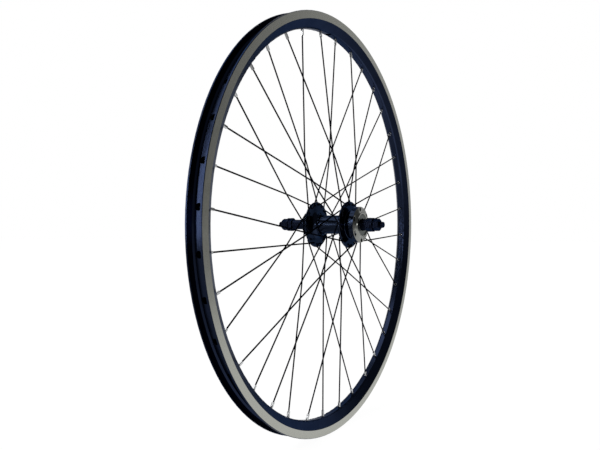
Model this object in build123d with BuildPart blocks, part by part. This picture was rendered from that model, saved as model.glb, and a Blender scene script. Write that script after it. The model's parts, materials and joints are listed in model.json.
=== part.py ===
"""Rear bicycle wheel for a disc brake and a screw-on freewheel.

The origin is the middle of the wheel. The axle lies along Y, with the disc side at +Y and the drive
side at -Y. +X is forward and +Z is up. Angles are counted from the top of the wheel towards the front.
All sizes are in millimetres.
"""

from build123d import *

import os
from math import acos, cos, degrees, hypot, radians, sin, tan

# Rim
BEAD_SEAT_DIAMETER = 584.0
HOOK_HEIGHT = 6.0
RIM_WIDTH = 23.8
RIM_INNER_WIDTH = 19.6
RIM_DEPTH = 22.7
TRACK_HEIGHT = 10.7
NOSE_WIDTH = 10.4
NOSE_ROUNDING = 3.6
RIM_SIDE_WALL = 1.5
SPOKE_BED_THICKNESS = 2.2
BRIDGE_THICKNESS = 1.5
WELL_DEPTH = 2.0
WELL_WIDTH = 10.6
WELL_SLOPE = 1.6
HOOK_LIP = 0.5
HOOK_LIP_HEIGHT = 1.6
RIM_EDGE_BEVEL = 0.6
ACCESS_HOLE_DIAMETER = 8.4
VALVE_HOLE_DIAMETER = 8.5
VALVE_SPOKE_STEPS = 1.5

# Lacing
SPOKE_COUNT = 36
CROSSINGS = 3
SPOKE_PHASE = 16.5
SPOKE_DIAMETER = 2.0
SPOKE_HEAD_DIAMETER = 3.8
SPOKE_HEAD_TOP_DIAMETER = 2.4
SPOKE_HEAD_HEIGHT = 1.1
ELBOW_RADIUS = 2.6
ELBOW_SINK = 0.3
CROSSING_BEND_RADIUS = 80.0
CROSSING_CLEARANCE = 0.15
RIM_HOLE_STAGGER = 0.5

# Nipples
NIPPLE_LENGTH = 12.0
NIPPLE_DIAMETER = 4.0
NIPPLE_HEAD_DIAMETER = 6.2
NIPPLE_HEAD_HEIGHT = 1.5
NIPPLE_SEAT_ANGLE = 90.0
NIPPLE_FLATS = 3.3
NIPPLE_FLATS_LENGTH = 5.5
NIPPLE_SLOT_WIDTH = 1.2
NIPPLE_SLOT_DEPTH = 0.9
NIPPLE_CLEARANCE = 0.12
THREAD_CLEARANCE = 0.02

# Hub shell
OVER_LOCKNUTS = 135.0
FLANGE_DIAMETER = 66.6
FLANGE_THICKNESS = 3.2
FLANGE_EDGE_ROUNDING = 1.2
FLANGE_ROOT_ROUNDING = 8.0
DISC_FLANGE_OFFSET = 32.2
DRIVE_FLANGE_OFFSET = 21.6
SPOKE_HOLE_INSET = 4.3
SPOKE_HOLE_DIAMETER = 2.6
BARREL_DIAMETER = 27.0
BARREL_BORE_DIAMETER = 21.0
NECK_DIAMETER = 39.0
ROTOR_FACE_INSET = 17.0
ROTOR_MOUNT_DIAMETER = 51.0
ROTOR_MOUNT_THICKNESS = 7.5
ROTOR_BOLT_CIRCLE = 44.0
ROTOR_BOLT_COUNT = 6
ROTOR_BOLT_PHASE = 6.06
ROTOR_BOLT_HOLE_DIAMETER = 4.2
ROTOR_PILOT_DIAMETER = 34.9
ROTOR_PILOT_HEIGHT = 3.2
FREEWHEEL_THREAD_DIAMETER = 34.8
FREEWHEEL_THREAD_LENGTH = 11.0
FREEWHEEL_SHOULDER_DIAMETER = 40.0
FREEWHEEL_SHOULDER_GAP = 2.5
FREEWHEEL_SHOULDER_ROUNDING = 1.25
EDGE_BEVEL = 0.5

# Bearings
BALL_DIAMETER = 6.35
BALL_COUNT = 9
BALL_CIRCLE_DIAMETER = 20.2
RACE_CLEARANCE = 0.05
RACE_WRAP = 75.0
BEARING_INSET = 8.7
CUP_DIAMETER = 31.2
CUP_FRONT = 3.0
CUP_FLOOR = 1.4
RETAINER_INNER_DIAMETER = 18.6
RETAINER_OUTER_DIAMETER = 24.8
RETAINER_BACK = 3.9
RETAINER_WIDTH = 2.1
POCKET_CLEARANCE = 0.1
DUST_CAP_RECESS = 0.8
DUST_CAP_THICKNESS = 1.0
DUST_CAP_GAP = 0.4

# Axle set
AXLE_DIAMETER = 9.5
AXLE_LENGTH = 171.0
AXLE_TIP_DIAMETER = 8.8
AXLE_TIP_GAP = 0.5
AXLE_END_BEVEL = 0.8
CONE_DIAMETER = 16.8
CONE_NOSE = 3.2
CONE_NOSE_WRAP = 20.0
CONE_FLATS = 15.0
CONE_FLATS_LENGTH = 4.0
LOCK_WASHER_DIAMETER = 17.0
LOCK_WASHER_THICKNESS = 1.2
SPACER_DIAMETER = 14.5
LOCK_NUT_FLATS = 17.0
LOCK_NUT_HEIGHT = 6.5
AXLE_WASHER_DIAMETER = 19.4
AXLE_WASHER_THICKNESS = 3.2
AXLE_NUT_FLATS = 15.0
AXLE_NUT_HEIGHT = 9.2
NUT_BEVEL_WIDTH = 1.8
NUT_BEVEL_HEIGHT = 0.9
WASHER_BEVEL = 0.25

DISC, DRIVE = 1, -1
SIDE_NAMES = {DISC: "disc", DRIVE: "drive"}

# Rim radii
rim_outer = BEAD_SEAT_DIAMETER / 2 + HOOK_HEIGHT
rim_seat = BEAD_SEAT_DIAMETER / 2
rim_nose = rim_outer - RIM_DEPTH
track_inner = rim_outer - TRACK_HEIGHT
bed_inside = rim_nose + SPOKE_BED_THICKNESS
well_floor = rim_seat - WELL_DEPTH

# Places along the axle, counted outwards from the middle of the wheel on either side
locknut_face = OVER_LOCKNUTS / 2
rotor_face = locknut_face - ROTOR_FACE_INSET
flange_offset = {DISC: DISC_FLANGE_OFFSET, DRIVE: DRIVE_FLANGE_OFFSET}
shell_end = {
    DISC: rotor_face + ROTOR_PILOT_HEIGHT,
    DRIVE: DRIVE_FLANGE_OFFSET + FLANGE_THICKNESS / 2 + FREEWHEEL_SHOULDER_GAP + FREEWHEEL_THREAD_LENGTH,
}
ball_place = {side: shell_end[side] - BEARING_INSET for side in (DISC, DRIVE)}
lock_nut_inner = locknut_face - LOCK_NUT_HEIGHT
# On the disc side the cone reaches its lock nut, and the drive side has the same cone with a spacer
cone_reach = lock_nut_inner - LOCK_WASHER_THICKNESS - ball_place[DISC]
cone_end = {side: ball_place[side] + cone_reach for side in (DISC, DRIVE)}
axle_nut_inner = locknut_face + AXLE_WASHER_THICKNESS

# Radii shared by the pieces that fit together
race_radius = BALL_DIAMETER / 2 + RACE_CLEARANCE
ball_circle = BALL_CIRCLE_DIAMETER / 2
axle_hole = AXLE_DIAMETER / 2 + THREAD_CLEARANCE
spoke_circle = FLANGE_DIAMETER / 2 - SPOKE_HOLE_INSET

os.makedirs("parts", exist_ok=True)


def save(piece, name):
    """Label a finished piece and write it to its own file."""
    piece.part.label = name
    export_step(piece.part, f"parts/{name}.step")


def around(radius, angle, y=0.0):
    """The point at a radius and an angle from the top, at a place along the axle."""
    return Vector(radius * sin(radians(angle)), y, radius * cos(radians(angle)))


def across_axle(y, side=DISC):
    """A plane square to the axle, facing outwards on its side, with its X axis up."""
    return Plane(origin=(0, y, 0), x_dir=(0, 0, 1), z_dir=(0, side, 0))


def radial_plane(radius, angle):
    """A plane that faces outwards from the axle at a radius and an angle."""
    return Plane(origin=around(radius, angle), x_dir=(0, 1, 0), z_dir=around(1, angle))


class Spoke:
    """The line of one spoke, in the plane that holds the axle's direction and both its ends."""

    def __init__(self, index):
        step = 360 / SPOKE_COUNT
        lean_angle = 2 * CROSSINGS * step
        self.side = DISC if index % 2 else DRIVE
        lean = 1 if index % 4 in (0, 3) else -1
        self.rim_angle = SPOKE_PHASE + index * step
        self.hub_angle = self.rim_angle + lean * lean_angle
        # Half of the spokes on a flange run along its outer face, and half along its inner face
        outward = self.side if self.side == lean else -self.side
        hub_hole = around(spoke_circle, self.hub_angle)
        run = around(bed_inside, self.rim_angle) - hub_hole
        self.plane = Plane(origin=hub_hole, x_dir=run, z_dir=run.cross(Vector(0, 1, 0)))
        flange = self.side * flange_offset[self.side]
        head_y = flange - outward * FLANGE_THICKNESS / 2
        elbow_y = flange + outward * (FLANGE_THICKNESS / 2 + ELBOW_RADIUS - ELBOW_SINK)
        # The last crossing lies midway between the two rim holes, where the spokes change places
        hub_reach = spoke_circle * sin(radians(lean_angle - step))
        rim_reach = bed_inside * sin(radians(step))
        share = hub_reach / (hub_reach + rim_reach)
        rim_y = self.side * RIM_HOLE_STAGGER
        middle_y = flange + share * (rim_y - flange)
        crossing_y = middle_y - outward * (SPOKE_DIAMETER + CROSSING_CLEARANCE) / 2
        self.points = [
            (0, head_y),
            (0, elbow_y),
            (share * run.length, crossing_y),
            (run.length, rim_y),
        ]
        end = self.plane.from_local_coords(Vector(*self.points[-1]))
        bend = self.plane.from_local_coords(Vector(*self.points[-2]))
        # The nipple lies on the spoke's last stretch, with its head's widest circle on the spoke bed
        self.nipple_plane = Plane(origin=end, x_dir=(0, 1, 0), z_dir=end - bend)


spokes = [Spoke(index) for index in range(SPOKE_COUNT)]


# Rim: a hollow section turned about the axle, with spoke, access and valve holes
half_width = RIM_WIDTH / 2
half_inner = RIM_INNER_WIDTH / 2
half_well = WELL_WIDTH / 2
half_nose = NOSE_WIDTH / 2
slope_length = hypot(track_inner - rim_nose, half_width - half_nose)
slope_gain = (half_width - half_nose) / (track_inner - rim_nose)
# The sloped wall's inner face, as its half width at the nose
inner_slope_at_nose = half_nose - RIM_SIDE_WALL * slope_length / (track_inner - rim_nose)
chamber_half_width = half_width - RIM_SIDE_WALL
slope_top = rim_nose + (chamber_half_width - inner_slope_at_nose) / slope_gain
bed_half_width = inner_slope_at_nose + slope_gain * SPOKE_BED_THICKNESS
shelf_edge = half_well + WELL_SLOPE

outer_half = [
    (rim_nose, half_nose, NOSE_ROUNDING),
    (track_inner, half_width, 0),
    (rim_outer - RIM_EDGE_BEVEL, half_width, 0),
    (rim_outer, half_width - RIM_EDGE_BEVEL, 0),
    (rim_outer, half_inner - HOOK_LIP, 0),
    (rim_outer - HOOK_LIP_HEIGHT, half_inner - HOOK_LIP, 0),
    (rim_outer - HOOK_LIP_HEIGHT - HOOK_LIP, half_inner, 0),
    (rim_seat, half_inner, 0),
    (rim_seat, shelf_edge, 0),
    (well_floor, half_well, 0),
]
chamber_half = [
    (bed_inside, bed_half_width),
    (slope_top, chamber_half_width),
    (rim_seat - BRIDGE_THICKNESS, chamber_half_width),
    (rim_seat - BRIDGE_THICKNESS, shelf_edge + BRIDGE_THICKNESS / 2),
    (well_floor - BRIDGE_THICKNESS, half_well + BRIDGE_THICKNESS / 2),
]
outer_mirrored = [(r, -y, rounding) for r, y, rounding in reversed(outer_half)]
chamber_mirrored = [(r, -y) for r, y in reversed(chamber_half)]
access_depth = WELL_DEPTH + BRIDGE_THICKNESS + NIPPLE_CLEARANCE
seat_depth = SPOKE_BED_THICKNESS + NIPPLE_HEAD_HEIGHT + NOSE_ROUNDING
valve_angle = SPOKE_PHASE - VALVE_SPOKE_STEPS * 360 / SPOKE_COUNT

with BuildPart() as rim:
    with BuildSketch(Plane.XY):
        with BuildLine():
            outline = outer_half + outer_mirrored
            FilletPolyline(*[(r, y) for r, y, _ in outline], radius=[c for _, _, c in outline], close=True)
        make_face()
        with BuildLine():
            Polyline(*chamber_half, *chamber_mirrored, close=True)
        make_face(mode=Mode.SUBTRACT)
    revolve(axis=Axis.Y)
    with Locations(*[spoke.nipple_plane for spoke in spokes]):
        CounterSinkHole(
            radius=NIPPLE_DIAMETER / 2 + NIPPLE_CLEARANCE,
            counter_sink_radius=NIPPLE_HEAD_DIAMETER / 2 + NIPPLE_CLEARANCE,
            depth=seat_depth,
            counter_sink_angle=NIPPLE_SEAT_ANGLE,
        )
    with Locations(*[radial_plane(rim_seat, spoke.rim_angle) for spoke in spokes]):
        Hole(radius=ACCESS_HOLE_DIAMETER / 2, depth=access_depth)
    with Locations(radial_plane(rim_seat, valve_angle)):
        Hole(radius=VALVE_HOLE_DIAMETER / 2, depth=RIM_DEPTH)
save(rim, "rim")

# Spokes: a head, an elbow through the flange, and a run that bends a little where it is laced
for number, spoke in enumerate(spokes, start=1):
    with BuildPart() as spoke_piece:
        with BuildLine(spoke.plane) as spoke_line:
            FilletPolyline(*spoke.points, radius=[ELBOW_RADIUS, CROSSING_BEND_RADIUS])
        root = Plane(origin=spoke_line.line @ 0, z_dir=spoke_line.line % 0)
        with BuildSketch(root):
            Circle(SPOKE_DIAMETER / 2)
        sweep()
        with Locations(Plane(origin=root.origin, z_dir=-root.z_dir)):
            Cone(
                bottom_radius=SPOKE_HEAD_DIAMETER / 2,
                top_radius=SPOKE_HEAD_TOP_DIAMETER / 2,
                height=SPOKE_HEAD_HEIGHT,
                align=(Align.CENTER, Align.CENTER, Align.MIN),
            )
    save(spoke_piece, f"spoke_{number:02d}")

# Nipples: one form, seated in the rim on the line of each spoke
nipple_radius = NIPPLE_DIAMETER / 2
nipple_head = NIPPLE_HEAD_DIAMETER / 2
nipple_end = NIPPLE_HEAD_HEIGHT - NIPPLE_LENGTH
seat_drop = (nipple_head - nipple_radius) / tan(radians(NIPPLE_SEAT_ANGLE / 2))
spoke_bore = SPOKE_DIAMETER / 2 + THREAD_CLEARANCE

with BuildPart() as nipple_form:
    with BuildSketch(Plane.XZ):
        with BuildLine():
            Polyline(
                (spoke_bore, nipple_end),
                (nipple_radius, nipple_end),
                (nipple_radius, -seat_drop),
                (nipple_head, 0),
                (nipple_radius, NIPPLE_HEAD_HEIGHT),
                (spoke_bore, NIPPLE_HEAD_HEIGHT),
                close=True,
            )
        make_face()
    revolve(axis=Axis.Z)
    with BuildSketch(Plane.XY.offset(nipple_end)):
        Circle(nipple_head)
        Rectangle(NIPPLE_FLATS, NIPPLE_FLATS, mode=Mode.SUBTRACT)
    extrude(amount=NIPPLE_FLATS_LENGTH, mode=Mode.SUBTRACT)
    with BuildSketch(Plane.XY.offset(NIPPLE_HEAD_HEIGHT)):
        Rectangle(NIPPLE_SLOT_WIDTH, NIPPLE_HEAD_DIAMETER)
    extrude(amount=-NIPPLE_SLOT_DEPTH, mode=Mode.SUBTRACT)

with BuildPart() as nipples:
    with Locations(*[spoke.nipple_plane for spoke in spokes]):
        add(nipple_form.part)
save(nipples, "nipples")

# Hub shell: barrel, two flanges, rotor mount with its pilot, and freewheel boss
flange_radius = FLANGE_DIAMETER / 2
barrel = BARREL_DIAMETER / 2
bore = BARREL_BORE_DIAMETER / 2
cup_radius = CUP_DIAMETER / 2
cup_back = race_radius + CUP_FLOOR
half_flange = FLANGE_THICKNESS / 2
disc_flange_in = DISC_FLANGE_OFFSET - half_flange
disc_flange_out = DISC_FLANGE_OFFSET + half_flange
drive_flange_in = DRIVE_FLANGE_OFFSET - half_flange
drive_flange_out = DRIVE_FLANGE_OFFSET + half_flange
shoulder = FREEWHEEL_SHOULDER_DIAMETER / 2
shoulder_out = drive_flange_out + FREEWHEEL_SHOULDER_GAP
thread_radius = FREEWHEEL_THREAD_DIAMETER / 2
pilot_radius = ROTOR_PILOT_DIAMETER / 2
mount_radius = ROTOR_MOUNT_DIAMETER / 2
mount_back = rotor_face - ROTOR_MOUNT_THICKNESS
neck = NECK_DIAMETER / 2

shell_outline = [
    (cup_radius, -shell_end[DRIVE], 0),
    (thread_radius - EDGE_BEVEL, -shell_end[DRIVE], 0),
    (thread_radius, EDGE_BEVEL - shell_end[DRIVE], 0),
    (thread_radius, -shoulder_out, 0),
    (shoulder, -shoulder_out, 0),
    (shoulder, -drive_flange_out, FREEWHEEL_SHOULDER_ROUNDING),
    (flange_radius, -drive_flange_out, FLANGE_EDGE_ROUNDING),
    (flange_radius, -drive_flange_in, FLANGE_EDGE_ROUNDING),
    (barrel, -drive_flange_in, FLANGE_ROOT_ROUNDING),
    (barrel, disc_flange_in, FLANGE_ROOT_ROUNDING),
    (flange_radius, disc_flange_in, FLANGE_EDGE_ROUNDING),
    (flange_radius, disc_flange_out, FLANGE_EDGE_ROUNDING),
    (neck, disc_flange_out, FLANGE_EDGE_ROUNDING),
    (neck, mount_back, FLANGE_EDGE_ROUNDING),
    (mount_radius, mount_back, 0),
    (mount_radius, rotor_face - EDGE_BEVEL, 0),
    (mount_radius - EDGE_BEVEL, rotor_face, 0),
    (pilot_radius, rotor_face, 0),
    (pilot_radius, shell_end[DISC] - EDGE_BEVEL, 0),
    (pilot_radius - EDGE_BEVEL, shell_end[DISC], 0),
    (cup_radius, shell_end[DISC], 0),
    (cup_radius, ball_place[DISC] - cup_back, 0),
    (bore, ball_place[DISC] - cup_back, 0),
    (bore, cup_back - ball_place[DRIVE], 0),
    (cup_radius, cup_back - ball_place[DRIVE], 0),
]
with BuildPart() as hub_shell:
    with BuildSketch(Plane.XY):
        with BuildLine():
            FilletPolyline(
                *[(r, y) for r, y, _ in shell_outline],
                radius=[rounding for _, _, rounding in shell_outline],
                close=True,
            )
        make_face()
    revolve(axis=Axis.Y)
    for side in (DISC, DRIVE):
        holes = [spoke.hub_angle for spoke in spokes if spoke.side == side]
        outer_face = side * (flange_offset[side] + half_flange)
        with Locations(*[Plane(around(spoke_circle, angle, outer_face), z_dir=(0, side, 0)) for angle in holes]):
            Hole(radius=SPOKE_HOLE_DIAMETER / 2, depth=FLANGE_THICKNESS)
    with Locations(across_axle(rotor_face)):
        with PolarLocations(ROTOR_BOLT_CIRCLE / 2, ROTOR_BOLT_COUNT, start_angle=ROTOR_BOLT_PHASE):
            Hole(radius=ROTOR_BOLT_HOLE_DIAMETER / 2, depth=ROTOR_MOUNT_THICKNESS)
save(hub_shell, "hub_shell")

# Bearings: the cup and dust cap sit in the shell, the balls run in their retainer on the cone
cone_radius = CONE_DIAMETER / 2
cone_wrap = degrees(acos((ball_circle - cone_radius) / race_radius))
cup_lip = ball_circle + race_radius * cos(radians(RACE_WRAP))

for side in (DISC, DRIVE):
    name = SIDE_NAMES[side]
    ball_y = side * ball_place[side]
    race_centre = (ball_circle, ball_y)
    cup_front = ball_place[side] + CUP_FRONT

    with BuildPart() as bearing_cup:
        with BuildSketch(Plane.XY):
            with BuildLine():
                cup_race = CenterArc(race_centre, race_radius, 0, -side * RACE_WRAP)
                Polyline(
                    cup_race @ 1,
                    (cup_lip, ball_y - side * cup_back),
                    (cup_radius, ball_y - side * cup_back),
                    (cup_radius, side * cup_front),
                    (ball_circle + race_radius, side * cup_front),
                    cup_race @ 0,
                )
            make_face()
        revolve(axis=Axis.Y)
    save(bearing_cup, f"bearing_cup_{name}")

    with BuildPart() as bearing_balls:
        with Locations(across_axle(ball_y, side)):
            with PolarLocations(ball_circle, BALL_COUNT):
                Sphere(BALL_DIAMETER / 2)
    save(bearing_balls, f"bearing_balls_{name}")

    retainer_back = ball_place[side] + RETAINER_BACK
    with BuildPart() as ball_retainer:
        with BuildSketch(across_axle(side * retainer_back, side)):
            Circle(RETAINER_OUTER_DIAMETER / 2)
            Circle(RETAINER_INNER_DIAMETER / 2, mode=Mode.SUBTRACT)
        extrude(amount=-RETAINER_WIDTH)
        with Locations(across_axle(ball_y, side)):
            with PolarLocations(ball_circle, BALL_COUNT):
                Sphere(BALL_DIAMETER / 2 + POCKET_CLEARANCE, mode=Mode.SUBTRACT)
    save(ball_retainer, f"ball_retainer_{name}")

    cap_face = shell_end[side] - DUST_CAP_RECESS
    cap_under = cap_face - DUST_CAP_THICKNESS
    with BuildPart() as dust_cap:
        with BuildSketch(Plane.XY):
            with BuildLine():
                Polyline(
                    (cone_radius + DUST_CAP_GAP, side * cap_face),
                    (cup_radius - EDGE_BEVEL, side * cap_face),
                    (cup_radius, side * (cap_face - EDGE_BEVEL)),
                    (cup_radius, side * cup_front),
                    (cup_radius - DUST_CAP_THICKNESS, side * cup_front),
                    (cup_radius - DUST_CAP_THICKNESS, side * cap_under),
                    (cone_radius + DUST_CAP_GAP, side * cap_under),
                    close=True,
                )
            make_face()
        revolve(axis=Axis.Y)
    save(dust_cap, f"dust_cap_{name}")

    with BuildPart() as cone:
        with BuildSketch(Plane.XY):
            with BuildLine():
                nose_wrap = 180 + CONE_NOSE_WRAP
                cone_race = CenterArc(
                    race_centre, race_radius, side * nose_wrap, -side * (CONE_NOSE_WRAP + cone_wrap)
                )
                Polyline(
                    cone_race @ 1,
                    (cone_radius, side * cone_end[side]),
                    (axle_hole, side * cone_end[side]),
                    (axle_hole, ball_y - side * CONE_NOSE),
                    ((cone_race @ 0).X - EDGE_BEVEL, ball_y - side * CONE_NOSE),
                    cone_race @ 0,
                )
            make_face()
        revolve(axis=Axis.Y)
        with BuildSketch(across_axle(side * cone_end[side], side)):
            Circle(CONE_DIAMETER)
            Rectangle(CONE_FLATS, 2 * CONE_DIAMETER, mode=Mode.SUBTRACT)
        extrude(amount=-CONE_FLATS_LENGTH, mode=Mode.SUBTRACT)
    save(cone, f"cone_{name}")

# Axle and what is screwed on it
thread_end = axle_nut_inner + AXLE_NUT_HEIGHT + AXLE_TIP_GAP
with BuildPart() as axle:
    with BuildSketch(across_axle(-thread_end)):
        Circle(AXLE_DIAMETER / 2)
    extrude(amount=2 * thread_end)
    with BuildSketch(across_axle(-AXLE_LENGTH / 2)):
        Circle(AXLE_TIP_DIAMETER / 2)
    extrude(amount=AXLE_LENGTH)
    tip_faces = axle.faces().filter_by(GeomType.PLANE).sort_by(Axis.Y)
    chamfer(tip_faces[0].edges() + tip_faces[-1].edges(), AXLE_END_BEVEL)
save(axle, "axle")


def ring(inner_y, outer_y, diameter, side):
    """A bevelled ring on the axle, between two places on one side."""
    with BuildPart() as piece:
        with BuildSketch(across_axle(side * inner_y, side)):
            Circle(diameter / 2)
        extrude(amount=outer_y - inner_y)
        chamfer(piece.faces().sort_by(Axis.Y)[0 if side < 0 else -1].edges(), WASHER_BEVEL)
        with Locations(across_axle(side * outer_y, side)):
            Hole(radius=axle_hole, depth=outer_y - inner_y)
    return piece


def hex_nut(inner_y, height, flats, side):
    """A hexagon nut on the axle, its outer corners turned down."""
    corner = flats / 2 / cos(radians(30))
    outer_y = inner_y + height
    with BuildPart() as piece:
        with BuildSketch(across_axle(side * inner_y, side)):
            RegularPolygon(radius=flats / 2, side_count=6, major_radius=False)
        extrude(amount=height)
        with BuildSketch(Plane.XY):
            with BuildLine():
                Polyline(
                    (axle_hole, side * inner_y),
                    (corner, side * inner_y),
                    (corner, side * (outer_y - NUT_BEVEL_HEIGHT)),
                    (corner - NUT_BEVEL_WIDTH, side * outer_y),
                    (axle_hole, side * outer_y),
                    close=True,
                )
            make_face()
        revolve(axis=Axis.Y, mode=Mode.INTERSECT)
    return piece


for side in (DISC, DRIVE):
    name = SIDE_NAMES[side]
    washer_out = cone_end[side] + LOCK_WASHER_THICKNESS
    save(ring(cone_end[side], washer_out, LOCK_WASHER_DIAMETER, side), f"lock_washer_{name}")
    save(hex_nut(lock_nut_inner, LOCK_NUT_HEIGHT, LOCK_NUT_FLATS, side), f"lock_nut_{name}")
    save(ring(locknut_face, axle_nut_inner, AXLE_WASHER_DIAMETER, side), f"axle_washer_{name}")
    save(hex_nut(axle_nut_inner, AXLE_NUT_HEIGHT, AXLE_NUT_FLATS, side), f"axle_nut_{name}")

spacer_inner = cone_end[DRIVE] + LOCK_WASHER_THICKNESS
save(ring(spacer_inner, lock_nut_inner, SPACER_DIAMETER, DRIVE), "axle_spacer")
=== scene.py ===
"""Rear bicycle wheel: finishes, screw threads, floor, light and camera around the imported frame."""

import json
from math import cos, hypot, pi, radians, sin

import bmesh
import bpy
from bpy.props import FloatProperty, FloatVectorProperty, IntProperty, PointerProperty
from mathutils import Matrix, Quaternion, Vector


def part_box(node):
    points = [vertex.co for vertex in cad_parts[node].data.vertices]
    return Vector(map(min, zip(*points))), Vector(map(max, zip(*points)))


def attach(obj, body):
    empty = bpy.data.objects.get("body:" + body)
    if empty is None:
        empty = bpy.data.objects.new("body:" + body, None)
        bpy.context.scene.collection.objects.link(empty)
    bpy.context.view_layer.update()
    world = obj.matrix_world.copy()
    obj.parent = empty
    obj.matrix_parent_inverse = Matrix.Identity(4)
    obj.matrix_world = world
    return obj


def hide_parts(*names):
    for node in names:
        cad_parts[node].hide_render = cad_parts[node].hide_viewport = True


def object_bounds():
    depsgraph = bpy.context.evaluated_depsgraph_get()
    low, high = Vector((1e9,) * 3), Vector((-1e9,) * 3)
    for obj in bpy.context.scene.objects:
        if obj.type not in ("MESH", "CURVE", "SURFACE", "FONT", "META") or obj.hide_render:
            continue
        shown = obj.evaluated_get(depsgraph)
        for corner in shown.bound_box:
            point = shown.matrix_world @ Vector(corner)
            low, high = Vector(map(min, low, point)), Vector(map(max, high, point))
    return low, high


bl_info = {
    "name": "Rear bicycle wheel",
    "version": (1, 0, 0),
    "blender": (4, 5, 0),
    "location": "3D View > Sidebar > Wheel",
    "description": "Dresses the packed wheel with its finishes and threads and sets it in a plain studio",
    "category": "Object",
}

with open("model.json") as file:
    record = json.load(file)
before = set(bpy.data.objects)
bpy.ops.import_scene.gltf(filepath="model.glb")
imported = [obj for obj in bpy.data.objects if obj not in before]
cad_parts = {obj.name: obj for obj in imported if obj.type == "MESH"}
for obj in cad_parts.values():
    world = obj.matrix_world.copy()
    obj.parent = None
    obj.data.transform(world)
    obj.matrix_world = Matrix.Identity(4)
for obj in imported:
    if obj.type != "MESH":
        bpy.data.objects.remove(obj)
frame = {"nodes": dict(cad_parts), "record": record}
CAD_LOW, CAD_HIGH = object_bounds()
MM = 0.001
ORIGIN = (0.0, 0.0, 0.0)
WHITE = (1.0, 1.0, 1.0)

# Sizes that the frame gives
RIM_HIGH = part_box("rim")[1]
AXLE_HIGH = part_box("axle")[1]
CAP_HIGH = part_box("dust_cap_disc")[1]
MOUNTS = {mount["name"]: mount for mount in frame["record"]["mounts"]}
ROTOR_FACE = MOUNTS["rotor_bolts"]["pos_m"][1]
SIDES = ("disc", "drive")

# Mesh work: how far a point may lie off a size, when two points are one, and what counts as a sharp edge
SLACK = 0.02 * MM
WELD = 0.001 * MM
SHARP_ANGLE = radians(30)
AXLE_LINE = (0.0, 1.0, 0.0)

# Section of a screw thread, as shares of its depth and its pitch
FOOT_SINK = 0.2
FOOT_HALF_WIDTH = 0.44
CREST_HALF_WIDTH = 0.06

# Points of one bolt hole lie no further apart than this many times its radius
MOUTH_REACH = 3

# Brake track: its wall's depth in from the rim's side, and its edges down from the rim's top
TRACK_DEPTH = 0.25 * MM
TRACK_TOP = 0.62 * MM
TRACK_FOOT = 10.65 * MM

# Rotor mount: where its bright metal starts under its face, and where its pilot starts over it
BRIGHT_START = 0.45 * MM
PILOT_START = 0.2 * MM
PILOT_ROUGHNESS = 0.15

# Dust cap: the painted shade of the gap to the hub shell, as a dark ring at its edge
GAP_SHADE_WIDTH = 1.0 * MM
GAP_SHADE_BLUR = 0.15 * MM

# Patterns: the blur of a colour's edge, the detail of noise, and the range that most of it falls in
EDGE_BLUR = 0.05 * MM
NOISE_DETAIL = 3.0
NOISE_RANGE = (0.3, 0.7)

# Backdrop that metal shows: bright behind the wheel, dim on the viewer's side, plain to matt surfaces
VIEWER_SIDE = (0.855, 0.519, 0.06)
FALL_RANGE = (-0.62, -0.22)
FALL_LEVELS = (0.75, 0.10)
MATT_LEVEL = 0.6

# Floor: the white patch behind the wheel that metal shows, and how much of the floor glows
PATCH_MIDDLE = (-0.30, 0.45, CAD_LOW.z)
PATCH_RANGE = (0.5, 0.8)
GLOW_SHARE = 0.93
GLOW_STRENGTH = 1.04
MATT_DIMMING = 0.6
FLOOR_SEGMENTS = 96

# Camera
SENSOR_WIDTH = 36.0
NEAR_CLIP = 0.01


def colour(name, description, default):
    """A colour that a user may change."""
    return FloatVectorProperty(
        name=name, description=description, default=default, size=3, min=0.0, max=1.0, subtype="COLOR"
    )


def length(name, description, default):
    """A length that a user may change."""
    return FloatProperty(
        name=name,
        description=description,
        default=default,
        min=0.0,
        precision=5,
        subtype="DISTANCE",
        unit="LENGTH",
    )


def turn(name, description, default):
    """An angle that a user may change, given in degrees."""
    return FloatProperty(
        name=name, description=description, default=radians(default), subtype="ANGLE", unit="ROTATION"
    )


def count(name, description, default):
    """A number of steps that a user may change."""
    return IntProperty(name=name, description=description, default=default, min=8)


class WheelFinishes(bpy.types.PropertyGroup):
    """Colours of the wheel's surfaces."""

    anodised_black: colour("Anodised black", "Black of the rim", (0.019, 0.027, 0.056))
    track_silver: colour("Brake track", "Turned aluminium of the brake tracks", (0.375, 0.382, 0.345))
    spoke_black: colour("Spoke black", "Black of the spokes", (0.008, 0.009, 0.014))
    nickel: colour("Nickel", "Plating of the nipples", (0.60, 0.61, 0.62))
    hub_black: colour("Hub black", "Black of the hub shell", (0.0155, 0.0225, 0.042))
    black_sheen: colour("Sheen", "Tint of black surfaces seen edge on", (0.45, 0.47, 0.52))
    mount_silver: colour("Rotor mount", "Turned aluminium of the rotor mount", (0.222, 0.23, 0.215))
    bearing_steel: colour("Bearing steel", "Ground steel of cups, balls and retainers", (0.58, 0.58, 0.57))
    cap_grey: colour("Dust cap", "Plated steel of the dust caps", (0.138, 0.155, 0.148))
    axle_black: colour("Axle black", "Black oxide of the axle and its nuts", (0.009, 0.0125, 0.026))


class WheelThreads(bpy.types.PropertyGroup):
    """Sizes of the screw threads and of the bolt holes' mouths."""

    axle_pitch: length("Axle pitch", "Distance from crest to crest on the axle", 1.0 * MM)
    axle_depth: length("Axle depth", "Height of the axle's thread", 0.45 * MM)
    boss_pitch: length("Freewheel pitch", "Distance from crest to crest on the freewheel boss", 1.058 * MM)
    boss_depth: length("Freewheel depth", "Height of the freewheel boss's thread", 0.6 * MM)
    plain_middle: length("Plain middle", "Length of the axle's middle that has no thread", 60.0 * MM)
    bolt_mouth: length("Bolt mouth", "Widening of the rotor's bolt holes at their face", 0.5 * MM)
    axle_steps: count("Axle steps", "Steps in one turn of the axle's thread", 32)
    boss_steps: count("Freewheel steps", "Steps in one turn of the boss's thread", 72)


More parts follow.
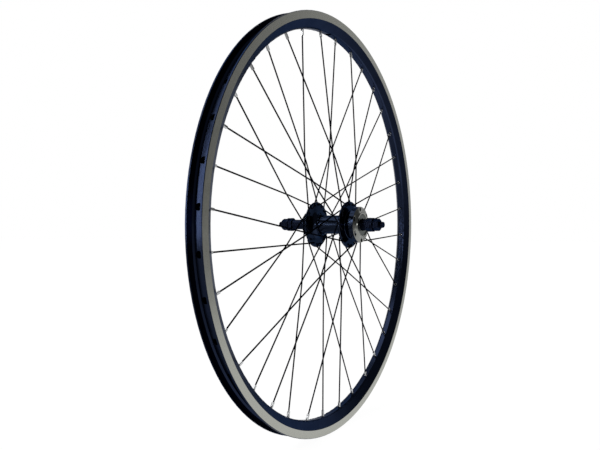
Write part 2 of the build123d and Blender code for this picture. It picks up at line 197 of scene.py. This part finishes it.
class WheelStudio(bpy.types.PropertyGroup):
    """Camera and floor."""

    camera_distance: length("Camera distance", "From the wheel's middle to the camera", 0.8918)
    camera_azimuth: turn("Camera azimuth", "Turn round the wheel", 118.463)
    camera_elevation: turn("Camera elevation", "Height above the horizon", -0.113)
    view_azimuth: turn("View azimuth", "Turn of the view axis", 121.232)
    view_elevation: turn("View elevation", "Slope of the view axis", -0.066)
    camera_roll: turn("Camera roll", "Tilt of the picture", 0.242)
    focal_length: FloatProperty(
        name="Focal length",
        description="Lens on a 36 mm sensor",
        default=36.636,
        subtype="DISTANCE_CAMERA",
        unit="CAMERA",
    )
    floor_colour: colour("Floor", "Pale floor under the wheel", (0.92, 0.92, 0.92))
    floor_radius: length("Floor radius", "Reach of the floor", 12.0)


class Nodes:
    """Short calls that build a tree of shader nodes."""

    fade = "LINEAR"

    def __init__(self, tree):
        self.tree = tree

    def node(self, kind, mode=None, **inputs):
        """Add a node and feed its inputs from sockets or plain values."""
        made = self.tree.nodes.new(kind)
        if mode:
            made.operation = mode
        for name, value in inputs.items():
            self.feed(made.inputs[name.replace("_", " ")], value)
        return made

    def feed(self, socket, value):
        """Link a socket to another, or set its value, made opaque where it is a colour."""
        if isinstance(value, bpy.types.NodeSocket):
            self.tree.links.new(value, socket)
        elif socket.type == "RGBA":
            socket.default_value = (*value, 1.0)
        else:
            socket.default_value = value

    def math(self, operation, first, second=0.0):
        """One step of arithmetic."""
        made = self.node("ShaderNodeMath", operation)
        self.feed(made.inputs[0], first)
        self.feed(made.inputs[1], second)
        return made.outputs["Value"]

    def span(self, value, start, end, low=0.0, high=1.0):
        """Carry a value from one range to another, held at both ends."""
        made = self.node(
            "ShaderNodeMapRange", Value=value, From_Min=start, From_Max=end, To_Min=low, To_Max=high
        )
        made.interpolation_type = self.fade
        return made.outputs["Result"]

    def scaled(self, value, factor):
        """A value times a factor."""
        return self.math("MULTIPLY", value, factor)


class Finish(Nodes):
    """A metal finish in the making."""

    def __init__(self, name):
        self.material = bpy.data.materials.new(name)
        self.material.use_nodes = True
        super().__init__(self.material.node_tree)
        self.shader = self.tree.nodes["Principled BSDF"]
        self.place = self.node("ShaderNodeTexCoord").outputs["Object"]
        self.x, self.y, self.z = self.node("ShaderNodeSeparateXYZ", Vector=self.place).outputs

    def radius(self):
        """Distance from the axle's line."""
        squares = [self.math("POWER", axis, 2.0) for axis in (self.x, self.z)]
        return self.math("SQRT", self.math("ADD", *squares))

    def above(self, value, limit, blur=EDGE_BLUR):
        """1 where a value is over a limit and 0 below it."""
        return self.span(value, limit - blur, limit + blur)

    def noise(self, scale):
        """Unevenness, as a value from 0 to 1."""
        made = self.node("ShaderNodeTexNoise", Vector=self.place, Scale=scale, Detail=NOISE_DETAIL)
        return made.outputs["Fac"]

    def between(self, data_type, socket_type, factor, first, second):
        """Go from one input to another by a factor."""
        made = self.node("ShaderNodeMix")
        made.data_type = data_type
        self.feed(made.inputs["Factor"], factor)
        ends = [socket for socket in made.inputs if socket.type == socket_type and socket.name in "AB"]
        for socket, value in zip(ends, (first, second)):
            self.feed(socket, value)
        return next(socket for socket in made.outputs if socket.type == socket_type)

    def mix(self, factor, first, second):
        """A colour between two colours."""
        return self.between("RGBA", "RGBA", factor, first, second)

    def blend(self, factor, first, second):
        """A value between two values."""
        return self.between("FLOAT", "VALUE", factor, first, second)

    def shaded(self, base, cloud, darkest, lightest):
        """A colour that a cloud makes darker and lighter by these gains."""
        return self.mix(cloud, tint(base, darkest), tint(base, lightest))

    def rough(self, grain, low, high):
        """Roughness that follows a grain."""
        return self.span(grain, *NOISE_RANGE, low, high)

    def lathe_lines(self, radius, pitch):
        """Fine concentric lines left by turning, as a value from 0 to 1."""
        wave = self.math("SINE", self.scaled(radius, factor=2 * pi / pitch))
        return self.span(wave, start=-1.0, end=1.0)

    def bump(self, height, distance):
        """Raise the surface by a height from 0 to 1 times a distance."""
        made = self.node("ShaderNodeBump", Height=height, Strength=1.0, Distance=distance)
        self.set(Normal=made.outputs["Normal"])

    def set(self, **values):
        """Feed the shader's own sockets."""
        for name, value in values.items():
            self.feed(self.shader.inputs[name.replace("_", " ")], value)


def tint(base, gain):
    """A colour made lighter or darker."""
    return tuple(min(1.0, channel * gain) for channel in base)


def rim_finish(finishes):
    """Black anodised aluminium with turned brake tracks."""
    made = Finish("anodised_rim")
    reach = made.radius()
    on_wall = made.above(made.math("ABSOLUTE", made.y), RIM_HIGH.y - TRACK_DEPTH)
    over_foot = made.above(reach, RIM_HIGH.z - TRACK_FOOT)
    under_top = made.math("SUBTRACT", 1.0, made.above(reach, RIM_HIGH.z - TRACK_TOP))
    track = made.math("MULTIPLY", on_wall, made.math("MULTIPLY", over_foot, under_top))
    lines = made.lathe_lines(reach, pitch=0.42 * MM)
    cloud = made.noise(scale=55.0)
    grain = made.noise(scale=2600.0)
    black = made.shaded(finishes.anodised_black, cloud, darkest=0.8, lightest=1.25)
    silver = made.shaded(finishes.track_silver, cloud, darkest=0.94, lightest=1.05)
    cloudy_lines = made.math("ADD", made.scaled(lines, factor=0.5), cloud)
    black_rough = made.rough(grain, low=0.20, high=0.28)
    silver_rough = made.span(cloudy_lines, start=0.3, end=1.2, low=0.24, high=0.32)
    made.set(
        Base_Color=made.mix(track, black, silver),
        Metallic=1.0,
        Roughness=made.blend(track, black_rough, silver_rough),
        Specular_Tint=made.mix(track, finishes.black_sheen, WHITE),
    )
    made.bump(made.blend(track, made.scaled(grain, factor=0.3), lines), distance=0.006 * MM)
    return made.material


def hub_finish(finishes):
    """Black hub shell with the rotor mount turned bright."""
    made = Finish("black_hub_shell")
    bright = made.above(made.y, ROTOR_FACE - BRIGHT_START)
    pilot = made.above(made.y, ROTOR_FACE + PILOT_START)
    lines = made.lathe_lines(made.radius(), pitch=0.5 * MM)
    cloud = made.noise(scale=90.0)
    grain = made.noise(scale=2200.0)
    black = made.shaded(finishes.hub_black, cloud, darkest=0.8, lightest=1.3)
    silver = made.shaded(finishes.mount_silver, cloud, darkest=0.93, lightest=1.05)
    black_rough = made.rough(grain, low=0.10, high=0.15)
    face_rough = made.span(lines, start=0.0, end=1.0, low=0.17, high=0.25)
    silver_rough = made.blend(pilot, face_rough, PILOT_ROUGHNESS)
    made.set(
        Base_Color=made.mix(bright, black, silver),
        Metallic=1.0,
        Roughness=made.blend(bright, black_rough, silver_rough),
        Specular_Tint=made.mix(bright, finishes.black_sheen, WHITE),
    )
    made.bump(made.blend(bright, made.scaled(grain, factor=0.4), lines), distance=0.006 * MM)
    return made.material


def cap_finish(finishes):
    """Dull plated steel with pressed rings, and a dark ring painted at its edge as the shade in the gap to
    the hub shell.
    """
    made = Finish("plated_dust_cap")
    reach = made.radius()
    # Painted shade: the cap's outer ring is coloured near-black to stand for the shade in the narrow gap
    # between cap and hub shell
    gap_shade = made.above(reach, CAP_HIGH.x - GAP_SHADE_WIDTH, GAP_SHADE_BLUR)
    grain = made.noise(scale=1200.0)
    grey = made.shaded(finishes.cap_grey, grain, darkest=0.85, lightest=1.1)
    made.set(
        Base_Color=made.mix(gap_shade, grey, tint(finishes.cap_grey, gain=0.08)),
        Metallic=1.0,
        Roughness=made.rough(grain, low=0.34, high=0.46),
    )
    made.bump(made.lathe_lines(reach, pitch=0.8 * MM), distance=0.008 * MM)
    return made.material


def plain_metal(name, base, shades, cloud_scale, grain_scale, roughness, relief):
    """Metal of one colour, a little cloudy and with a fine grain."""
    made = Finish(name)
    grain = made.noise(grain_scale)
    made.set(
        Base_Color=made.shaded(base, made.noise(cloud_scale), *shades),
        Metallic=1.0,
        Roughness=made.rough(grain, *roughness),
    )
    made.bump(grain, relief)
    return made


def spoke_finish(finishes):
    """Black oxide on drawn steel wire."""
    made = plain_metal(
        "black_spoke_wire",
        finishes.spoke_black,
        shades=(0.8, 1.3),
        cloud_scale=45.0,
        grain_scale=1800.0,
        roughness=(0.28, 0.40),
        relief=0.004 * MM,
    )
    made.set(Specular_Tint=tint(finishes.black_sheen, gain=0.15))
    return made.material


def nipple_finish(finishes):
    """Bright nickel on brass."""
    made = plain_metal(
        "nickel_nipple",
        finishes.nickel,
        shades=(0.88, 1.06),
        cloud_scale=240.0,
        grain_scale=1500.0,
        roughness=(0.16, 0.28),
        relief=0.004 * MM,
    )
    return made.material


def steel_finish(finishes):
    """Ground bearing steel with a film of oil."""
    made = plain_metal(
        "ground_bearing_steel",
        finishes.bearing_steel,
        shades=(0.86, 1.06),
        cloud_scale=160.0,
        grain_scale=1400.0,
        roughness=(0.14, 0.26),
        relief=0.003 * MM,
    )
    return made.material


def axle_finish(finishes):
    """Black oxide on turned steel."""
    made = plain_metal(
        "black_axle_steel",
        finishes.axle_black,
        shades=(0.75, 1.5),
        cloud_scale=170.0,
        grain_scale=1300.0,
        roughness=(0.26, 0.40),
        relief=0.010 * MM,
    )
    made.set(Specular_Tint=finishes.black_sheen)
    return made.material


def dress(node, material):
    """Give a carried-over node its finish."""
    slots = frame["nodes"][node].data.materials
    slots.clear()
    slots.append(material)


def finish_piece(name, bm, material, body, node):
    """Turn a finished bmesh into a piece that rides on a body in place of a node."""
    bmesh.ops.recalc_face_normals(bm, faces=bm.faces)
    mesh = bpy.data.meshes.new(name)
    bm.to_mesh(mesh)
    bm.free()
    mesh.shade_smooth()
    mesh.set_sharp_from_angle(angle=SHARP_ANGLE)
    mesh.materials.append(material)
    piece = bpy.data.objects.new(name, mesh)
    bpy.context.scene.collection.objects.link(piece)
    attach(piece, body)
    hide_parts(node)


def sink(vert, radius):
    """Move a point straight towards the Y axis or away from it, onto a radius."""
    gain = radius / hypot(vert.co.x, vert.co.z)
    vert.co.x *= gain
    vert.co.z *= gain


def wind_thread(bm, start, end, crest, depth, pitch, steps):
    """Wind one closed right-handed ridge round the Y axis, run out at both ends."""
    root = crest - depth
    foot = root - FOOT_SINK * depth
    half = FOOT_HALF_WIDTH * pitch
    flat = CREST_HALF_WIDTH * pitch
    turns = int((end - start - 2 * half) / pitch)
    first_y = (start + end - turns * pitch) / 2
    section = [(foot, -half), (root, -half), (crest, -flat), (crest, flat), (root, half), (foot, half)]
    one_turn = bmesh.new()
    verts = [one_turn.verts.new((0.0, first_y + y, radius)) for radius, y in section]
    edges = [one_turn.edges.new(pair) for pair in zip(verts, verts[1:] + verts[:1])]
    bmesh.ops.spin(
        one_turn,
        geom=verts + edges,
        cent=ORIGIN,
        axis=AXLE_LINE,
        dvec=(0.0, pitch / steps, 0.0),
        angle=2 * pi,
        steps=steps,
        use_merge=False,
    )
    mesh = bpy.data.meshes.new("thread")
    one_turn.to_mesh(mesh)
    one_turn.free()
    ridge = bmesh.new()
    for number in range(turns):
        made = len(ridge.verts)
        ridge.from_mesh(mesh)
        ridge.verts.ensure_lookup_table()
        bmesh.ops.translate(ridge, verts=ridge.verts[made:], vec=(0.0, number * pitch, 0.0))
    for end_verts in (ridge.verts[:len(section)], ridge.verts[-len(section):]):
        for vert in end_verts:
            if hypot(vert.co.x, vert.co.z) > root:
                sink(vert, root)
        ridge.faces.new(end_verts)
    bmesh.ops.remove_doubles(ridge, verts=ridge.verts, dist=WELD)
    ridge.to_mesh(mesh)
    ridge.free()
    bm.from_mesh(mesh)
    bpy.data.meshes.remove(mesh)


def turn_solid(bm, outline, steps):
    """Turn an outline of radius and place into a closed solid about the Y axis."""
    verts = [bm.verts.new((0.0, y, radius)) for radius, y in outline]
    edges = [bm.edges.new(pair) for pair in zip(verts, verts[1:])]
    bmesh.ops.spin(
        bm,
        geom=verts + edges,
        cent=ORIGIN,
        axis=AXLE_LINE,
        angle=2 * pi,
        steps=steps,
        use_merge=True,
    )
    bmesh.ops.remove_doubles(bm, verts=bm.verts, dist=WELD)


def round_mount(name):
    """A round mount's radius, and where it starts and ends along the axle."""
    dims = MOUNTS[name]["dims"]
    middle = MOUNTS[name]["pos_m"][1]
    half = dims["length_mm"] * MM / 2
    return dims["r_mm"] * MM, middle - half, middle + half


def threaded_axle(threads):
    """The axle, threaded on both sides of a plain middle."""
    tip_crest, tip_start, tip_end = round_mount("axle_tip_disc")
    end = AXLE_HIGH.y
    crest = AXLE_HIGH.x
    depth = threads.axle_depth
    plain = threads.plain_middle / 2
    half = [
        (crest, plain),
        (crest - depth, plain + depth),
        (crest - depth, tip_start),
        (tip_crest - depth, tip_start),
        (tip_crest - depth, tip_end + depth),
        (tip_crest - (end - tip_end), end),
        (0.0, end),
    ]
    bm = bmesh.new()
    turn_solid(bm, [(radius, -y) for radius, y in reversed(half)] + half, threads.axle_steps)
    for radius, start, stop in ((crest, plain, tip_start), (tip_crest, tip_start, tip_end + depth)):
        wind_thread(bm, start, stop, radius, depth, threads.axle_pitch, threads.axle_steps)
        wind_thread(bm, -stop, -start, radius, depth, threads.axle_pitch, threads.axle_steps)
    return bm


def widen_mouths(bm, mount, reach):
    """Widen a ring of bolt holes where they meet their face."""
    face = mount["pos_m"][1]
    circle = mount["dims"]["pcd_mm"] * MM / 2
    hole = mount["dims"]["hole_r_mm"] * MM + SLACK
    left = [
        vert
        for vert in bm.verts
        if abs(vert.co.y - face) < SLACK and abs(hypot(vert.co.x, vert.co.z) - circle) < hole
    ]
    while left:
        mouth = [vert for vert in left if (vert.co - left[0].co).length < MOUTH_REACH * hole]
        middle = sum((vert.co for vert in mouth), Vector()) / len(mouth)
        left = [vert for vert in left if vert not in mouth]
        for vert in mouth:
            vert.co += reach * (vert.co - middle).normalized()


def threaded_hub(threads):
    """The hub shell with its freewheel boss threaded and its bolt holes countersunk."""
    crest, start, end = round_mount("freewheel_thread")
    node = frame["nodes"]["hub_shell"]
    bm = bmesh.new()
    bm.from_mesh(node.data)
    bmesh.ops.transform(bm, matrix=node.matrix_world, verts=bm.verts)
    bmesh.ops.remove_doubles(bm, verts=bm.verts, dist=WELD)
    for vert in bm.verts:
        on_boss = abs(hypot(vert.co.x, vert.co.z) - crest) < SLACK
        if on_boss and start - SLACK < vert.co.y < end + SLACK:
            sink(vert, crest - threads.boss_depth)
    wind_thread(bm, start, end, crest, threads.boss_depth, threads.boss_pitch, threads.boss_steps)
    widen_mouths(bm, MOUNTS["rotor_bolts"], threads.bolt_mouth)
    return bm


class Backdrop(Nodes):
    """Nodes of the world and the floor, which are white to the camera and shown by metal as well."""

    fade = "SMOOTHSTEP"

    def __init__(self, tree):
        super().__init__(tree)
        self.path = self.node("ShaderNodeLightPath").outputs
        self.place = self.node("ShaderNodeTexCoord").outputs

    def vector(self, operation, first, second=ORIGIN):
        """One step of arithmetic on a place or a direction."""
        made = self.node("ShaderNodeVectorMath", operation)
        self.feed(made.inputs[0], first)
        self.feed(made.inputs[1], second)
        return made.outputs

    def fall(self, direction):
        """Bright behind the wheel, dim on the viewer's side."""
        toward = self.vector("DOT_PRODUCT", direction, VIEWER_SIDE)["Value"]
        return self.span(toward, *FALL_RANGE, *FALL_LEVELS)

    def seen(self, mirrored):
        """1 to the camera, and a level of its own to metal and glass."""
        shiny = self.math("MAXIMUM", self.path["Is Glossy Ray"], self.path["Is Transmission Ray"])
        return self.math("MAXIMUM", self.path["Is Camera Ray"], self.scaled(shiny, mirrored))


def studio_world():
    """White to the camera, shown by metal as a bright backdrop that dims towards the viewer's side."""
    world = bpy.data.worlds.new("studio")
    world.use_nodes = True
    background = world.node_tree.nodes["Background"].inputs
    backdrop = Backdrop(world.node_tree)
    level = backdrop.seen(backdrop.fall(backdrop.place["Generated"]))
    matt = backdrop.scaled(backdrop.path["Is Diffuse Ray"], MATT_LEVEL)
    backdrop.feed(background["Strength"], backdrop.math("MAXIMUM", level, matt))
    backdrop.feed(background["Color"], WHITE)
    bpy.context.scene.world = world


def floor_material(floor_colour):
    """White to the camera, white to metal behind the wheel, and matt enough to keep the wheel's shadow."""
    material = bpy.data.materials.new("pale_floor")
    material.use_nodes = True
    material.node_tree.nodes.clear()
    backdrop = Backdrop(material.node_tree)
    place = backdrop.place["Object"]
    far = backdrop.fall(backdrop.vector("NORMALIZE", place)["Vector"])
    gap = backdrop.vector("DISTANCE", place, PATCH_MIDDLE)["Value"]
    near = backdrop.span(gap, *PATCH_RANGE, low=1.0, high=0.0)
    level = backdrop.seen(backdrop.math("MAXIMUM", far, near))
    dimmed = backdrop.scaled(backdrop.path["Is Glossy Ray"], MATT_DIMMING)
    shade = backdrop.node("ShaderNodeVectorMath", "SCALE", Scale=backdrop.math("SUBTRACT", 1.0, dimmed))
    backdrop.feed(shade.inputs[0], floor_colour)
    matt = backdrop.node("ShaderNodeBsdfDiffuse", Color=shade.outputs["Vector"])
    glow = backdrop.node("ShaderNodeEmission", Strength=GLOW_STRENGTH)
    mixed = backdrop.node("ShaderNodeMixShader", Fac=backdrop.scaled(level, GLOW_SHARE))
    backdrop.feed(mixed.inputs[1], matt.outputs["BSDF"])
    backdrop.feed(mixed.inputs[2], glow.outputs["Emission"])
    backdrop.node("ShaderNodeOutputMaterial", Surface=mixed.outputs["Shader"])
    return material


def lay_floor(studio):
    """The pale floor that the wheel stands on."""
    bm = bmesh.new()
    bmesh.ops.create_circle(bm, cap_ends=True, segments=FLOOR_SEGMENTS, radius=studio.floor_radius)
    bmesh.ops.translate(bm, verts=bm.verts, vec=(0.0, 0.0, CAD_LOW.z))
    mesh = bpy.data.meshes.new("floor")
    bm.to_mesh(mesh)
    bm.free()
    mesh.materials.append(floor_material(studio.floor_colour))
    floor = bpy.data.objects.new("floor", mesh)
    bpy.context.scene.collection.objects.link(floor)


def set_up(data, place, rotation):
    """Put a lamp or the camera in its place."""
    made = bpy.data.objects.new(data.name, data)
    made.location = place
    made.rotation_mode = "QUATERNION"
    made.rotation_quaternion = rotation
    bpy.context.scene.collection.objects.link(made)
    return made


def facing(direction):
    """The turn that points a lamp or the camera along a direction."""
    return direction.to_track_quat("-Z", "Y")


def soft_light(name, place, target, width, height, power):
    """A flat lamp that faces a point."""
    lamp = bpy.data.lights.new(name, "AREA")
    lamp.shape = "RECTANGLE"
    lamp.size = width
    lamp.size_y = height
    lamp.energy = power
    set_up(lamp, place, facing(Vector(target) - Vector(place)))


def heading(azimuth, elevation):
    """The direction from the wheel towards a viewer."""
    return Vector((sin(azimuth) * cos(elevation), -cos(azimuth) * cos(elevation), sin(elevation)))


def set_camera(studio):
    """The camera, at the photograph's viewing angle."""
    lens = bpy.data.cameras.new("camera")
    lens.sensor_width = SENSOR_WIDTH
    lens.lens = studio.focal_length
    lens.clip_start = NEAR_CLIP
    place = studio.camera_distance * heading(studio.camera_azimuth, studio.camera_elevation)
    view = heading(studio.view_azimuth, studio.view_elevation)
    roll = Quaternion((0.0, 0.0, 1.0), studio.camera_roll)
    bpy.context.scene.camera = set_up(lens, place, facing(-view) @ roll)


class WHEEL_OT_rim(bpy.types.Operator):
    """Finish the rim in black with turned brake tracks"""

    bl_idname = "wheel.rim"
    bl_label = "Rim"

    def execute(self, context):
        dress("rim", rim_finish(context.scene.wheel_finishes))
        return {"FINISHED"}


class WHEEL_OT_spokes(bpy.types.Operator):
    """Finish the spokes in black and their nipples in nickel"""

    bl_idname = "wheel.spokes"
    bl_label = "Spokes and nipples"

    def execute(self, context):
        finishes = context.scene.wheel_finishes
        wire = spoke_finish(finishes)
        for node in frame["nodes"]:
            if node.startswith("spoke_"):
                dress(node, wire)
        dress("nipples", nipple_finish(finishes))
        return {"FINISHED"}


class WHEEL_OT_hub(bpy.types.Operator):
    """Thread the hub shell's freewheel boss, widen its bolt holes' mouths and finish it"""

    bl_idname = "wheel.hub"
    bl_label = "Hub shell"

    def execute(self, context):
        scene = context.scene
        finish_piece(
            "threaded_hub_shell",
            threaded_hub(scene.wheel_threads),
            hub_finish(scene.wheel_finishes),
            body="wheel",
            node="hub_shell",
        )
        return {"FINISHED"}


class WHEEL_OT_bearings(bpy.types.Operator):
    """Finish the cups, balls, retainers and dust caps"""

    bl_idname = "wheel.bearings"
    bl_label = "Bearings"

    def execute(self, context):
        finishes = context.scene.wheel_finishes
        steel = steel_finish(finishes)
        cap = cap_finish(finishes)
        for side in SIDES:
            for piece in ("bearing_cup", "bearing_balls", "ball_retainer"):
                dress(f"{piece}_{side}", steel)
            dress(f"dust_cap_{side}", cap)
        return {"FINISHED"}


class WHEEL_OT_axle(bpy.types.Operator):
    """Thread the axle and finish it with what is screwed on it"""

    bl_idname = "wheel.axle"
    bl_label = "Axle set"

    def execute(self, context):
        scene = context.scene
        black = axle_finish(scene.wheel_finishes)
        finish_piece(
            "threaded_axle",
            threaded_axle(scene.wheel_threads),
            black,
            body="axle_set",
            node="axle",
        )
        dress("axle_spacer", black)
        for side in SIDES:
            for piece in ("cone", "lock_washer", "lock_nut", "axle_washer", "axle_nut"):
                dress(f"{piece}_{side}", black)
        return {"FINISHED"}


class WHEEL_OT_studio(bpy.types.Operator):
    """Set the pale floor, the light and the camera"""

    bl_idname = "wheel.studio"
    bl_label = "Studio"

    def execute(self, context):
        studio = context.scene.wheel_studio
        context.scene.view_settings.view_transform = "Standard"
        lay_floor(studio)
        studio_world()
        soft_light(
            "overhead_softbox",
            place=(0.45, -1.3, 1.75),
            target=ORIGIN,
            width=1.6,
            height=1.6,
            power=12.0,
        )
        soft_light(
            "left_softbox",
            place=(1.08, -1.20, 0.0),
            target=(0.29, 0.0, 0.0),
            width=0.45,
            height=0.45,
            power=0.65,
        )
        soft_light(
            "camera_lamp",
            place=(1.12, 0.60, 0.04),
            target=ORIGIN,
            width=0.22,
            height=0.25,
            power=1.2,
        )
        soft_light(
            "front_lamp",
            place=(0.60, -0.275, 0.18),
            target=(0.28, 0.0, 0.06),
            width=0.038,
            height=0.52,
            power=0.46,
        )
        set_camera(studio)
        return {"FINISHED"}


class WHEEL_PT_panel(bpy.types.Panel):
    """Lists the sizes, the colours and the steps that dress the wheel"""

    bl_label = "Wheel"
    bl_idname = "WHEEL_PT_panel"
    bl_space_type = "VIEW_3D"
    bl_region_type = "UI"
    bl_category = "Wheel"

    def draw(self, context):
        layout = self.layout
        scene = context.scene
        for group in (scene.wheel_finishes, scene.wheel_threads, scene.wheel_studio):
            box = layout.box()
            for name in group.__annotations__:
                box.prop(group, name)
        for operator in OPERATORS:
            layout.operator(operator.bl_idname)


GROUPS = {"wheel_finishes": WheelFinishes, "wheel_threads": WheelThreads, "wheel_studio": WheelStudio}
OPERATORS = (
    WHEEL_OT_rim,
    WHEEL_OT_spokes,
    WHEEL_OT_hub,
    WHEEL_OT_bearings,
    WHEEL_OT_axle,
    WHEEL_OT_studio,
)
CLASSES = (*GROUPS.values(), *OPERATORS, WHEEL_PT_panel)


def register():
    """Make the classes and their settings known to Blender."""
    for item in CLASSES:
        bpy.utils.register_class(item)
    for name, group in GROUPS.items():
        setattr(bpy.types.Scene, name, PointerProperty(type=group))


def unregister():
    """Take the settings and the classes out again."""
    for name in GROUPS:
        delattr(bpy.types.Scene, name)
    for item in reversed(CLASSES):
        bpy.utils.unregister_class(item)


def main():
    """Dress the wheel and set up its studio."""
    register()
    bpy.ops.wheel.rim()
    bpy.ops.wheel.spokes()
    bpy.ops.wheel.hub()
    bpy.ops.wheel.bearings()
    bpy.ops.wheel.axle()
    bpy.ops.wheel.studio()


if __name__ == "__main__":
    main()
